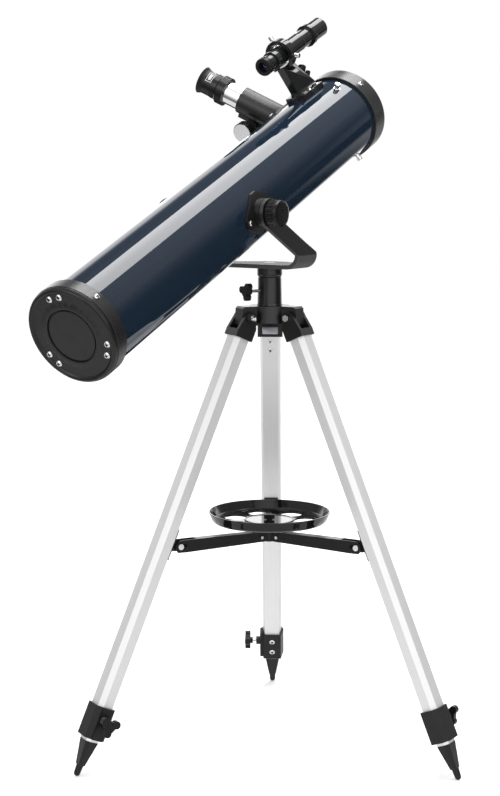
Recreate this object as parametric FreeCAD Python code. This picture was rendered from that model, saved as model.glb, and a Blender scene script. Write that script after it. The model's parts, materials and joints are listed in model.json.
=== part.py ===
"""Newtonian reflector telescope on a folding tripod with an alt-azimuth yoke, in millimetres.

The stand is built about its own upright axis: +Z up, +Y towards the rear leg. The legs' middle
lines meet the level Z = 0; their rounded tips end on the floor, a little above it.
The optical tube is built in tube axes, with local X along the altitude axis to the right,
local Y along the tube to its open front and local Z up, and is then set at its elevation.
Everything is moved at the end so that the origin is the middle of the footprint on the floor.
"""
import FreeCAD
import Part
import math
import os

V = FreeCAD.Vector
X, Y, Z = V(1, 0, 0), V(0, 1, 0), V(0, 0, 1)
HOME = V(0, 0, 0)

# ---- pose of the instrument -------------------------------------------------------------
AZIMUTH = 31.0        # the tube's front points this far from +Y towards +X
ELEVATION = 23.0      # and this far above the horizon
AXIS_BACK = 114.0     # the altitude axis passes this far behind the azimuth axis
AXIS_HEIGHT = 739.0

# ---- optical tube -----------------------------------------------------------------------
TUBE_R = 57.5
TUBE_WALL = 1.2
TUBE_REAR, TUBE_FRONT = -334.0, 343.0
BAND_R = 61.35        # outer radius of the plastic rings over the tube's ends
BAND_REAR = (-334.6, -316.8)
BAND_FRONT = (317.9, 346.2)
BAND_SCREWS = (42.0, 162.0, 282.0)
BACK_FACE = -341.0    # rearmost plane of the rear cell
CELL_SEAT = BACK_FACE + 2.6    # the sunk ring that carries the collimation screws
CELL_INSIDE = BACK_FACE + 8.2
MIRROR_R = 38.0
MIRROR_Y = -310.0     # rear face of the primary mirror
MIRROR_THICK = 10.0
MIRROR_CURVE = 1400.0
CELL_R = 54.0
CELL_THICK = 6.0
SCREW_RING_R = 49.0   # collimation screws
PAIR_ANGLES = (-12.0, 108.0, 228.0)
PAIR_SPREAD = 9.0
SPIDER_Y = 295.0
SPIDER_ANGLES = (23.6, 143.6, 263.6)
HOLDER_R = 9.5
FOCUS_Y = 251.0       # the focuser's axis meets the tube's axis here
FOCUS_ANGLE = -62.0   # from the tube's up direction towards its right side
FINDER_ANGLE = -10.0

# ---- focuser and eyepiece: distances from the tube's axis -------------------------------
HOUSING_R = 18.8
HOUSING_END = 119.0
DRAW_R = 17.2
DRAW_BORE = 15.9      # takes a 1.25 inch eyepiece
DRAW_INNER, DRAW_OUTER = 52.0, 119.6
SADDLE_HALF = 44.0
SADDLE_THICK = 2.6
BARREL_R = 15.85
RACK_SIDE = 18.6      # flat of the rack, from the focuser's axis
PITCH_R = 4.8
TOOTH_PITCH = 2 * math.pi * PITCH_R / 12
PINION_SIDE = RACK_SIDE + 0.6 + PITCH_R
PINION_HEIGHT = 91.0
KNOB_R = 14.2
RUN = 0.05            # radial play of a running fit

# ---- finder -----------------------------------------------------------------------------
FINDER_R = 124.3      # its axis from the tube's axis
FINDER_REAR = 193.8

# ---- yoke -------------------------------------------------------------------------------
ARM_IN, ARM_OUT = 66.8, 72.2
BEND_IN, BEND_OUT = 13.0, 18.4
BASE_BOTTOM = 664.0
ARM_BACK, ARM_FRONT = -46.0, 2.0
EYE_R = 19.0
STUD_R = 4.0
KNOB_FACE = 91.4
POST_R = 16.8
SPINDLE_R = 9.0

# ---- tripod head and legs ---------------------------------------------------------------
HEAD_TOP = 612.0
COLUMN_TOP = 650.2
HINGE_R = 36.8
HINGE_Z = 597.5
TIP_R = 291.4         # a foot's tip from the stand's axis
LEG_ANGLES = {"rear": 90.0, "left": 210.0, "right": 330.0}
TONGUE_HALF = 10.5
CHEEK_IN, CHEEK_OUT = 10.9, 17.0
BOLT_R = 2.5
STEM_R = 2.1          # threaded stems of the clamp knobs
LEG_SECTION = ((11.0, 10.0), (3.6, 14.0), (-11.0, 10.75))
LEG_WALL = 1.4
COLLAR_LENGTH = 44.0
FLOOR_Z = 3.8         # the feet are cut flat here, and this becomes the floor
FOOT_LENGTH = 53.5
FOOT_GAP = 4.5

# ---- spreader and tray ------------------------------------------------------------------
SPREAD_Z = 296.0
HUB_PIVOT_R = 15.3
LEG_PIVOT_R = 138.0
ARM_HALF = 6.6
TRAY_TOP = 330.3
TRAY_BOTTOM = 315.3
TRAY_RIM_R = 83.2
TRAY_HOLES = 7
TRAY_HOLE_R = 16.0
TRAY_HOLE_RING = 50.5

LEAN = math.degrees(math.atan2(TIP_R - HINGE_R, HINGE_Z))
LEG_LENGTH = math.hypot(TIP_R - HINGE_R, HINGE_Z)


# ---- small makers -----------------------------------------------------------------------
def rod(radius, low, high):
    return Part.makeCylinder(radius, high - low, V(0, 0, low))


def pipe(outer, inner, low, high):
    return rod(outer, low, high).cut(rod(inner, low - 1, high + 1))


def block(x0, x1, y0, y1, z0, z1):
    return Part.makeBox(x1 - x0, y1 - y0, z1 - z0, V(x0, y0, z0))


def turned(outline):
    """A solid of revolution about Z from its (radius, height) outline."""
    points = [V(radius, 0, height) for radius, height in outline]
    return Part.Face(Part.makePolygon(points + points[:1])).revolve(HOME, Z, 360)


def prism(outline, low, high):
    """A straight prism along Z from its (x, y) outline."""
    points = [V(x, y, low) for x, y in outline]
    return Part.Face(Part.makePolygon(points + points[:1])).extrude(V(0, 0, high - low))


def joined(*shapes):
    whole = shapes[0]
    for shape in shapes[1:]:
        whole = whole.fuse(shape)
    return whole.removeSplitter()


def set_at(shape, origin, z_axis, x_axis=None):
    """The shape with its own Z along z_axis and its own X near x_axis, at origin."""
    if x_axis is None:
        turn = FreeCAD.Rotation(Z, z_axis)
    else:
        turn = FreeCAD.Rotation(x_axis, V(0, 0, 0), z_axis, "ZXY")
    moved = shape.copy()
    moved.Placement = FreeCAD.Placement(origin, turn).multiply(moved.Placement)
    return moved


def turned_by(shape, degrees, axis=Z):
    moved = shape.copy()
    turn = FreeCAD.Placement(HOME, FreeCAD.Rotation(axis, degrees))
    moved.Placement = turn.multiply(moved.Placement)
    return moved


def moved_by(shape, x, y, z):
    moved = shape.copy()
    moved.translate(V(x, y, z))
    return moved


def round_about(degrees, radius, height=0.0):
    """A point at this angle from +X towards +Y."""
    angle = math.radians(degrees)
    return V(radius * math.cos(angle), radius * math.sin(angle), height)


def pan_screw(head_r, head_h, shank_r, shank_length):
    """A cross-recessed screw: its head on Z = 0 and its shank below."""
    dome = [(0, -shank_length), (shank_r, -shank_length), (shank_r, 0), (head_r, 0)]
    dome += [(head_r, head_h * 0.45), (head_r * 0.72, head_h * 0.86), (0, head_h)]
    slot = head_r * 0.6
    width = head_r * 0.2
    depth = head_h * 0.4
    recess = block(-slot, slot, -width, width, depth, head_h + 1)
    return turned(dome).cut(recess).cut(turned_by(recess, 90))


def hex_bolt(across, head_h, shank_r, length):
    """Its head lies below Z = 0 and its shank runs up from there."""
    corner = across / math.sqrt(3)
    outline = [(corner * math.cos(math.radians(60 * i)), corner * math.sin(math.radians(60 * i)))
               for i in range(6)]
    return joined(prism(outline, -head_h, 0), rod(shank_r, -1, length))


def star_knob(radius, thickness, neck_r, neck_length):
    """A three-lobed grip about Z, with its neck below Z = 0."""
    grip = rod(radius * 0.55, 0, thickness)
    for i in range(3):
        lobe = rod(radius * 0.36, 0, thickness)
        grip = grip.fuse(moved_by(lobe, *round_about(90 + 120 * i, radius * 0.64)))
    for i in range(3):
        bite = rod(radius * 0.42, -1, thickness + 1)
        grip = grip.cut(moved_by(bite, *round_about(30 + 120 * i, radius * 0.93)))
    return joined(grip, rod(neck_r, -neck_length, 1))


def ribbed_ring(outer, inner, low, high, ribs, depth):
    """A ring with evenly spaced grooves cut along its outside."""
    ring = pipe(outer, inner, low, high)
    width = math.pi * outer / ribs
    groove = block(outer - depth, outer + 1, -width / 2, width / 2, low - 1, high + 1)
    cuts = [turned_by(groove, 360.0 * i / ribs) for i in range(ribs)]
    return ring.cut(Part.makeCompound(cuts))


# ---- places -----------------------------------------------------------------------------
AHEAD = V(math.sin(math.radians(AZIMUTH)), math.cos(math.radians(AZIMUTH)), 0)
RIGHT = V(math.cos(math.radians(AZIMUTH)), -math.sin(math.radians(AZIMUTH)), 0)
PIVOT = AHEAD * -AXIS_BACK + Z * AXIS_HEIGHT
YOKE = FreeCAD.Placement(HOME, FreeCAD.Rotation(Z, -AZIMUTH))
TUBE = FreeCAD.Placement(PIVOT, YOKE.Rotation.multiply(FreeCAD.Rotation(X, ELEVATION)))


def leg_place(name, lean=LEAN):
    """Leg axes: origin at its hinge, X outward, Y along the hinge, Z up along the leg."""
    turn = FreeCAD.Rotation(Z, LEG_ANGLES[name]).multiply(FreeCAD.Rotation(Y, -lean))
    return FreeCAD.Placement(round_about(LEG_ANGLES[name], HINGE_R, HINGE_Z), turn)


def head_place(name):
    """Head axes: origin on the stand's axis at the floor, X outward along the leg."""
    return FreeCAD.Placement(HOME, FreeCAD.Rotation(Z, LEG_ANGLES[name]))


def around_tube(degrees, radius, along):
    """A point in tube axes, at this angle from up towards the right."""
    angle = math.radians(degrees)
    return V(radius * math.sin(angle), along, radius * math.cos(angle))


def on_tube(shape, degrees, radius, along):
    """The shape with its Z along the tube's radius and its X along the tube."""
    return set_at(shape, around_tube(degrees, radius, along), around_tube(degrees, 1, 0), Y)


def along_tube(shape, degrees=0.0, radius=0.0):
    """The shape with its Z along the tube, its X along the given radius."""
    return set_at(shape, around_tube(degrees, radius, 0), Y, around_tube(degrees, 1, 0))


NODES = {}


def node(name, place, *shapes):
    """Keep one sub-part, its separate solids moved from their own axes into the stand's."""
    solids = []
    for shape in shapes:
        moved = shape.copy()
        moved.Placement = place.multiply(moved.Placement)
        solids += moved.Solids
    NODES[name] = solids


# ---- optical tube assembly --------------------------------------------------------------
def focus_frame(shape):
    """Focuser axes: Z out along the focuser, X along the tube, Y round towards its under side."""
    return set_at(shape, V(0, FOCUS_Y, 0), around_tube(FOCUS_ANGLE, 1, 0), Y)


def tube_shell():
    shell = pipe(TUBE_R, TUBE_R - TUBE_WALL, TUBE_REAR, TUBE_FRONT)
    shell = along_tube(shell)
    shell = shell.cut(focus_frame(rod(DRAW_R + 0.8, 40, 70)))
    shell = shell.cut(focus_frame(block(-4, 4, 0, 21, 40, 70)))
    for degrees in SPIDER_ANGLES:
        shell = shell.cut(on_tube(rod(2.0, -5, 5), degrees, TUBE_R, SPIDER_Y))
    return shell


def front_band():
    low, high = BAND_FRONT
    outline = [(TUBE_R, low), (BAND_R - 0.6, low), (BAND_R, low + 0.6), (BAND_R, high - 2.0),
               (BAND_R - 0.7, high - 0.6), (BAND_R - 2.2, high), (54.0, high),
               (53.2, high - 0.8), (53.2, TUBE_FRONT), (TUBE_R, TUBE_FRONT)]
    band = along_tube(turned(outline))
    for degrees in BAND_SCREWS:
        band = band.cut(on_tube(rod(1.6, 50, 70), degrees, 0, 330.0))
    return band


def rear_band():
    low, high = BAND_REAR
    outline = [(TUBE_R, low), (BAND_R - 0.5, low), (BAND_R, low + 0.5), (BAND_R, high - 0.6),
               (BAND_R - 0.6, high), (TUBE_R, high)]
    band = along_tube(turned(outline))
    for degrees in BAND_SCREWS:
        band = band.cut(on_tube(rod(1.6, 50, 70), degrees, 0, -326.0))
    return band


def collimation_places(push):
    """Where the screws of one kind stand on the rear cell, in tube axes."""
    side = PAIR_SPREAD if push else -PAIR_SPREAD
    return [around_tube(degrees + side, SCREW_RING_R, 0) for degrees in PAIR_ANGLES]


def rear_cell():
    """A moulded end cap: a raised middle inside a groove, a sunk ring, and a rounded rim."""
    rim = BACK_FACE
    seat = CELL_SEAT
    middle = [(0, rim + 1.9), (31.0, rim + 1.9), (31.8, rim + 2.3), (32.2, rim + 3.8),
              (33.2, rim + 3.8), (34.0, rim + 1.5), (35.6, rim + 1.1), (38.0, rim + 1.2)]
    sunk = [(43.6, seat), (53.6, seat), (54.8, rim + 1.2), (55.8, rim + 0.3)]
    edge = [(57.0, rim), (58.4, rim + 0.4), (59.9, rim + 1.6), (60.9, rim + 3.6), (60.9, -335.5),
            (59.2, -335.5), (59.2, -334.6)]
    skirt = [(56.3, -334.6), (56.3, -326.0), (54.6, -326.0), (54.6, CELL_INSIDE), (0, CELL_INSIDE)]
    outline = middle + sunk + edge + skirt
    cell = along_tube(turned(outline))
    for spot in collimation_places(False) + collimation_places(True):
        cell = cell.cut(set_at(rod(1.6, -345, -325), V(spot.x, 0, spot.z), Y))
    return cell


def collimation_hardware():
    """Three pull screws with their springs, and three push screws."""
    seat = CELL_SEAT
    cell_back = MIRROR_Y - CELL_THICK
    parts = []
    for spot in collimation_places(False):
        screw = pan_screw(4.0, 2.6, 1.6, MIRROR_Y - 1.0 - seat)
        parts.append(set_at(screw, V(spot.x, seat, spot.z), Y * -1))
        coil_bottom = CELL_INSIDE
        turns = 5
        wire = 0.6
        rise = cell_back - coil_bottom - 2 * wire - 0.2
        helix = Part.makeHelix(rise / turns, rise, 3.2)
        ring = Part.Wire(Part.makeCircle(wire, V(3.2, 0, 0), Y))
        coil = Part.Wire(helix).makePipeShell([ring], True, True)
        parts.append(set_at(coil, V(spot.x, coil_bottom + wire + 0.1, spot.z), Y))
    for spot in collimation_places(True):
        screw = pan_screw(4.0, 2.6, 1.6, cell_back - seat)
        parts.append(set_at(screw, V(spot.x, seat, spot.z), Y * -1))
    return parts


def mirror_cell():
    plate = rod(CELL_R, MIRROR_Y - CELL_THICK, MIRROR_Y)
    plate = plate.cut(rod(20, MIRROR_Y - CELL_THICK - 1, MIRROR_Y - 2.5))
    for i in range(3):
        clip = block(MIRROR_R + 0.2, MIRROR_R + 5, -6, 6, MIRROR_Y - 0.1, MIRROR_Y + 11.4)
        lip = block(MIRROR_R - 3, MIRROR_R + 5, -6, 6, MIRROR_Y + 11.4, MIRROR_Y + 12.8)
        plate = plate.fuse(turned_by(clip.fuse(lip), 120 * i + 30))
    plate = along_tube(plate.removeSplitter())
    for spot in collimation_places(False):
        tapped = rod(1.6, MIRROR_Y - CELL_THICK - 1, MIRROR_Y - 1.0)
        plate = plate.cut(set_at(tapped, V(spot.x, 0, spot.z), Y))
    return plate


def primary_mirror():
    top = MIRROR_Y + MIRROR_THICK
    blank = rod(MIRROR_R, MIRROR_Y, top)
    sag = MIRROR_CURVE - math.sqrt(MIRROR_CURVE ** 2 - MIRROR_R ** 2)
    ball = Part.makeSphere(MIRROR_CURVE, V(0, 0, top - sag + MIRROR_CURVE))
    return along_tube(blank.cut(ball))


def spider():
    """Three thin vanes and their hub, with a threaded stud out through the tube at each end."""
    hub = pipe(8.0, 2.0, SPIDER_Y - 7, SPIDER_Y + 7)
    whole = along_tube(hub)
    for degrees in SPIDER_ANGLES:
        vane = block(-6.5, 6.5, -0.5, 0.5, 7.5, TUBE_R - TUBE_WALL - 0.2)
        stud = rod(1.9, TUBE_R - 9, TUBE_R + 7.5)
        lug = block(-4, 4, -2.2, 2.2, TUBE_R - 10, TUBE_R - 4)
        whole = whole.fuse(on_tube(joined(vane, lug, stud), degrees, 0, SPIDER_Y))
    return whole.removeSplitter()


def spider_nuts():
    outline = [(1.9, 0.0), (4.6, 0.0), (4.6, 0.8), (3.1, 0.9), (3.1, 3.6), (4.3, 3.8),
               (4.3, 7.2), (3.4, 8.2), (1.9, 8.2)]
    nut = turned(outline)
    return [on_tube(nut, degrees, TUBE_R, SPIDER_Y) for degrees in SPIDER_ANGLES]


def diagonal_plane(distance):
    """A big block behind the 45 degree plane that turns the light to the focuser."""
    out = around_tube(FOCUS_ANGLE, 1, 0)
    normal = (Y * -1 + out) * (1 / math.sqrt(2))
    cutter = block(-40, 40, -40, 40, 0, 80)
    return set_at(cutter, V(0, FOCUS_Y, 0) + normal * distance, normal)


def secondary_holder():
    stalk = rod(HOLDER_R, FOCUS_Y - 14, SPIDER_Y - 13)
    stalk = stalk.fuse(pipe(HOLDER_R, 7.0, SPIDER_Y - 13, SPIDER_Y - 10))
    return along_tube(stalk).cut(diagonal_plane(-3.0))


def secondary_mirror():
    glass = along_tube(rod(HOLDER_R, FOCUS_Y - 20, FOCUS_Y + 20))
    return glass.cut(diagonal_plane(0.0)).common(diagonal_plane(-3.0))


def secondary_screws():
    parts = [along_tube(rod(1.9, SPIDER_Y - 13, SPIDER_Y + 11))]
    head = pan_screw(3.6, 2.2, 1.9, 0.5)
    parts.append(set_at(head, V(0, SPIDER_Y + 11.5, 0), Y))
    for i in range(3):
        screw = rod(1.2, SPIDER_Y - 13, SPIDER_Y - 7)
        parts.append(along_tube(moved_by(screw, *round_about(60 + 120 * i, 5.2))))
    return [joined(parts[0], parts[1])] + parts[2:]


def altitude_plate():
    """A curved lozenge pad under a round boss, on the tube's right side, in tube axes."""
    half_long, half_wide, nose = 38.0, 28.0, 5.0
    outline = [(-half_long, nose), (-half_long, -nose), (-nose, -half_wide), (nose, -half_wide),
               (half_long, -nose), (half_long, nose), (nose, half_wide), (-nose, half_wide)]
    sleeve = along_tube(pipe(TUBE_R + 3.0, TUBE_R, -50, 50))
    pad = set_at(prism(outline, 30, 80), HOME, X, Y).common(sleeve)
    boss = set_at(rod(EYE_R, 50, ARM_IN - 0.4), HOME, X)
    inside = along_tube(rod(TUBE_R, -50, 50))
    whole = pad.fuse(boss.cut(inside)).removeSplitter()
    whole = whole.cut(set_at(rod(STUD_R + RUN, TUBE_R + 0.8, 90), HOME, X))
    for side in (-1, 1):
        whole = whole.cut(set_at(rod(1.6, 50, 90), V(0, 30.0 * side, 0), X))
    return whole


def other_side(shape):
    return turned_by(shape, 180, Y)


def focuser_housing():
    """A round barrel on a thin saddle that follows the tube, open along the rack."""
    sleeve = along_tube(pipe(TUBE_R + SADDLE_THICK, TUBE_R, FOCUS_Y - 60, FOCUS_Y + 60))
    half = SADDLE_HALF
    corner = 8.0
    outline = [(-half, half - corner), (-half, corner - half), (corner - half, -half),
               (half - corner, -half), (half, corner - half), (half, half - corner),
               (half - corner, half), (corner - half, half)]
    window = focus_frame(prism([(x, y * 0.68) for x, y in outline], 10, 90))
    barrel = focus_frame(rod(HOUSING_R, 40, HOUSING_END))
    whole = sleeve.common(window).fuse(barrel)
    whole = whole.cut(along_tube(rod(TUBE_R, FOCUS_Y - 70, FOCUS_Y + 70)))
    whole = whole.cut(focus_frame(rod(DRAW_R + RUN, 30, 130)))
    whole = whole.cut(focus_frame(block(-3.8, 3.8, 0, RACK_SIDE + 2.2, 30, 130)))
    for degrees, along in saddle_spots():
        whole = whole.cut(on_tube(rod(1.6, 50, 90), degrees, 0, along))
    return whole.Solids[0]


def pinion_cover():
    """The bearing for the pinion, screwed under the barrel, with a flat cover over the rack."""
    low, high = 64.0, 116.0
    shelf = block(-8.5, 8.5, 15.0, 23.0, low, high)
    bulge = set_at(rod(9.0, -12.5, 12.5), V(0, PINION_SIDE, PINION_HEIGHT), X)
    body = joined(shelf, bulge)
    body = body.cut(rod(HOUSING_R, 30, 130))
    body = body.cut(block(-3.8, 3.8, 0, RACK_SIDE + 2.2, 30, 130))
    cavity = set_at(rod(PITCH_R + 1.2, -4.4, 4.4), V(0, PINION_SIDE, PINION_HEIGHT), X)
    bore = set_at(rod(2.5 + RUN, -20, 20), V(0, PINION_SIDE, PINION_HEIGHT), X)
    body = body.cut(cavity).cut(bore)
    return focus_frame(body)


def focus_pinion():
    """A shaft along the tube with twelve straight teeth at its middle."""
    shaft = rod(2.5, -36, 36)
    gear = rod(PITCH_R - 1.0, -3.2, 3.2)
    foot, tip = 0.75, 0.32
    tooth = prism([(PITCH_R - 1.3, -foot), (PITCH_R + 0.45, -tip), (PITCH_R + 0.45, tip),
                   (PITCH_R - 1.3, foot)], -3.2, 3.2)
    for i in range(12):
        gear = gear.fuse(turned_by(tooth, 30 * i + 15))
    whole = gear.fuse(shaft).removeSplitter()
    return focus_frame(set_at(whole, V(0, PINION_SIDE, PINION_HEIGHT), X, Y * -1))


def focus_knobs():
    knobs = []
    for side in (-1, 1):
        grip = ribbed_ring(KNOB_R, 2.5, 0, 11.0, 36, 0.5)
        hub = pipe(7.0, 2.5, -2.0, 0)
        cap = rod(KNOB_R - 1.0, 11.0, 12.0)
        knob = grip.fuse(hub).fuse(cap).removeSplitter()
        spot = V(27.0 * side, PINION_SIDE, PINION_HEIGHT)
        knob = set_at(knob, spot, X * side)
        shaft = set_at(rod(2.5, -36, 36), V(0, PINION_SIDE, PINION_HEIGHT), X)
        knobs.append(focus_frame(knob.cut(shaft)))
    return knobs


def drawtube():
    """A plain tube with a toothed rack along its under side."""
    tube = pipe(DRAW_R, DRAW_BORE, DRAW_INNER, DRAW_OUTER)
    length_low, length_high = 60.0, 117.0
    rack = block(-3.2, 3.2, DRAW_R - 1.0, RACK_SIDE, length_low, length_high)
    count = int((length_high - length_low) / TOOTH_PITCH) - 1
    first = PINION_HEIGHT - TOOTH_PITCH * int((PINION_HEIGHT - length_low - 1) / TOOTH_PITCH)
    foot, tip = 0.72, 0.34
    for i in range(count):
        middle = first + TOOTH_PITCH * i
        tooth = prism([(RACK_SIDE - 0.3, middle - foot), (RACK_SIDE + 1.15, middle - tip),
                       (RACK_SIDE + 1.15, middle + tip), (RACK_SIDE - 0.3, middle + foot)],
                      -3.2, 3.2)
        rack = rack.fuse(set_at(tooth, HOME, X, Y))
    rack = rack.cut(rod(DRAW_BORE + 0.2, 30, 130))
    return focus_frame(tube.fuse(rack).removeSplitter())


def eyepiece():
    """(chrome barrel, black body with its ribbed ring, rubber eyecup, lenses)"""
    seat = 143.5
    barrel = turned([(14.6, 108.0), (BARREL_R - 0.3, 108.0), (BARREL_R, 108.6), (BARREL_R, seat),
                     (14.6, seat)])
    ribs = ribbed_ring(20.4, 12.4, seat, seat + 11.0, 44, 0.7)
    shoulder = turned([(12.4, seat + 10.5), (19.4, seat + 10.5), (19.4, seat + 11.4),
                       (17.0, seat + 14.4), (17.0, seat + 34.0), (12.4, seat + 34.0)])
    fine_ribs = ribbed_ring(17.6, 12.4, seat + 13.0, seat + 21.5, 44, 0.5)
    body = ribs.fuse(shoulder).fuse(fine_ribs).removeSplitter()
    cup = turned([(12.4, seat + 34.0), (17.0, seat + 34.0), (17.3, seat + 37.4), (19.0, seat + 40.6),
                  (19.4, seat + 41.6), (18.6, seat + 42.0), (17.0, seat + 42.0), (14.6, seat + 37.0),
                  (12.4, seat + 37.0)])
    field = turned([(0, 121.0), (14.6, 121.0), (14.6, 123.0), (0, 124.6)])
    eye = turned([(0, seat + 24.0), (12.4, seat + 24.0), (12.4, seat + 29.0), (0, seat + 30.6)])
    return [focus_frame(shape) for shape in (barrel, body, cup, field.fuse(eye))]


def saddle_spots():
    """The four screws at the saddle's corners: each one's angle round the tube and place along."""
    return [(FOCUS_ANGLE + degrees, FOCUS_Y + along)
            for degrees in (-22.5, 22.5) for along in (-37.0, 37.0)]


def tube_screws():
    """Every small cross-recessed screw that holds a fitting to the tube."""
    small = pan_screw(3.4, 2.2, 1.6, 2.4)
    parts = []
    for degrees in BAND_SCREWS:
        parts.append(on_tube(small, degrees, BAND_R, 330.0))
        parts.append(on_tube(small, degrees, BAND_R, -326.0))
    for side in (-1, 1):
        screw = set_at(small, V(TUBE_R + 3.0, 30.0 * side, 0), X)
        parts += [screw, other_side(screw)]
    for degrees, along in saddle_spots():
        parts.append(on_tube(small, degrees, TUBE_R + SADDLE_THICK, along))
    for x, y in SHOE_SCREWS:
        parts.append(finder_post_frame(moved_by(pan_screw(2.6, 1.8, 1.6, 3.0), x, y, SHOE_TOP)))
    return parts


# ---- finder -----------------------------------------------------------------------------
SHOE_TOP = 63.5
SHOE_SCREWS = ((262.0, 11.0), (283.0, 11.0), (262.0, -11.0), (283.0, -11.0))
RING_R, RING_BORE = 20.8, 15.6
ADJUST_ANGLES = (-15.0, 105.0, 225.0)
CLAMP_AIM = V(0.775, 0, 0.632)
CLAMP_SPOTS = ((V(273.4, 0, 86.8), 5.6), (V(282.8, 0, 75.8), 3.4))


def finder_frame(shape):
    """Finder axes: Z along the finder from its eyepiece end, X away from the tube."""
    spot = around_tube(FINDER_ANGLE, FINDER_R, FINDER_REAR)
    return set_at(shape, spot, Y, around_tube(FINDER_ANGLE, 1, 0))


def finder_post_frame(shape):
    """Bracket axes: X along the tube, Z away from it, both from the tube's middle."""
    return set_at(shape, HOME, around_tube(FINDER_ANGLE, 1, 0), Y)


def finder_body():
    """(eyepiece that turns, tube, objective lens)"""
    eye = ribbed_ring(12.2, 7.0, 0.8, 9.0, 40, 0.45)
    rim = turned([(7.0, 0.0), (11.4, 0.0), (12.0, 0.8), (7.0, 0.8)])
    neck = turned([(7.0, 9.0), (10.8, 9.0), (10.8, 10.6), (7.0, 10.6)])
    eye = joined(rim, eye, neck)
    tube = turned([(7.0, 11.0), (10.9, 11.0), (10.9, 22.0), (13.0, 22.0), (13.0, 25.0),
                   (12.4, 25.6), (12.4, 55.0), (13.0, 57.0), (13.0, 96.0), (12.2, 97.0),
                   (12.2, 120.0), (15.4, 121.0), (15.4, 128.0), (14.0, 129.4), (14.0, 157.8),
                   (13.4, 158.9), (11.9, 158.9), (11.9, 139.0), (11.2, 139.0), (11.2, 30.0),
                   (7.0, 28.0)])
    glass = turned([(0, 139.4), (11.9, 139.4), (11.9, 142.0), (0, 144.2)])
    peep = turned([(0, 12.0), (7.0, 12.0), (7.0, 15.0), (0, 15.8)])
    return [finder_frame(shape) for shape in (eye, tube, glass.fuse(peep))]


def finder_bracket():
    """A ring on a leaning web, on a curved shoe with two rails."""
    ring = finder_frame(pipe(RING_R, RING_BORE, 44.0, 56.0))
    ring_y = FINDER_REAR
    outline = [(ring_y + 37.0, 111.0), (ring_y + 61.0, 110.5), (289.0, 68.5), (291.0, SHOE_TOP),
               (239.0, SHOE_TOP), (240.5, 69.0), (ring_y + 36.0, 107.0)]
    web = finder_post_frame(set_at(prism(outline, -5.5, 5.5), HOME, Y * -1, X))
    shoe = finder_post_frame(block(238.0, 292.0, -15.0, 15.0, 45.0, SHOE_TOP))
    core = along_tube(rod(TUBE_R, 220, 300))
    hole = finder_frame(rod(RING_BORE, 30.0, 70.0))
    whole = joined(ring.fuse(web).cut(hole), shoe.cut(core))
    for x, y in SHOE_SCREWS:
        whole = whole.cut(finder_post_frame(moved_by(rod(1.6, 55, 90), x, y, 0)))
    for degrees in ADJUST_ANGLES:
        tapped = set_at(rod(1.6, 10, 30), HOME, round_about(degrees, 1), Z)
        whole = whole.cut(finder_frame(moved_by(tapped, 0, 0, 50.5)))
    for spot, radius in CLAMP_SPOTS:
        whole = whole.cut(finder_post_frame(set_at(rod(1.7, -5, 20), spot, CLAMP_AIM)))
    return whole


def finder_screws():
    """Three adjusting screws round the ring, and two clamp screws on the web's front edge."""
    parts = []
    adjust = turned([(0, 12.5), (1.6, 12.5), (1.6, 21.6), (3.4, 22.0), (3.4, 27.8), (2.6, 28.6),
                     (0, 28.6)])
    for degrees in ADJUST_ANGLES:
        screw = set_at(adjust, HOME, round_about(degrees, 1), Z)
        parts.append(finder_frame(moved_by(screw, 0, 0, 50.5)))
    for spot, radius in CLAMP_SPOTS:
        head = ribbed_ring(radius, 1.0, 2.2, 9.6, 24, 0.4)
        head = head.fuse(rod(1.7, -5.0, 9.0)).removeSplitter()
        parts.append(finder_post_frame(set_at(head, spot, CLAMP_AIM)))
    return parts


def altitude_knob():
    """A fluted grip with a domed face, and its threaded stud into the boss."""
    low = ARM_OUT + 0.4
    grip = turned([(0, low), (15.6, low), (16.6, low + 1.2), (17.0, low + 3.0), (17.4, 86.8),
                   (16.4, 89.9), (13.0, KNOB_FACE - 0.3), (0, KNOB_FACE)])
    for i in range(18):
        flute = Part.makeCylinder(2.2, 9.0, V(0, 0, low + 1.8))
        grip = grip.cut(moved_by(flute, *round_about(20 * i, 18.4)))
    stud = rod(STUD_R, TUBE_R + 1.6, low + 1)
    return set_at(grip.fuse(stud).removeSplitter(), HOME, X)


# ---- yoke -------------------------------------------------------------------------------
def arm_outline():
    """The side view of one arm, (ahead, height), from the bend up to the eye."""
    slope = math.radians(27.0)
    down = V(-math.sin(slope), -math.cos(slope), 0)
    low_tangent = V(-AXIS_BACK, AXIS_HEIGHT, 0) + down * EYE_R
    top = BASE_BOTTOM + BEND_OUT
    run = V(-math.cos(slope), math.sin(slope), 0)
    shoulder = V(-28.1, 700.1, 0)
    high = shoulder + run * 74.0
    return [(ARM_BACK, top), (ARM_FRONT, top), (ARM_FRONT - 1.5, top + 3.6), (-9.0, top + 8.4),
            (shoulder.x, shoulder.y), (high.x, high.y), (low_tangent.x, low_tangent.y)]


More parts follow.
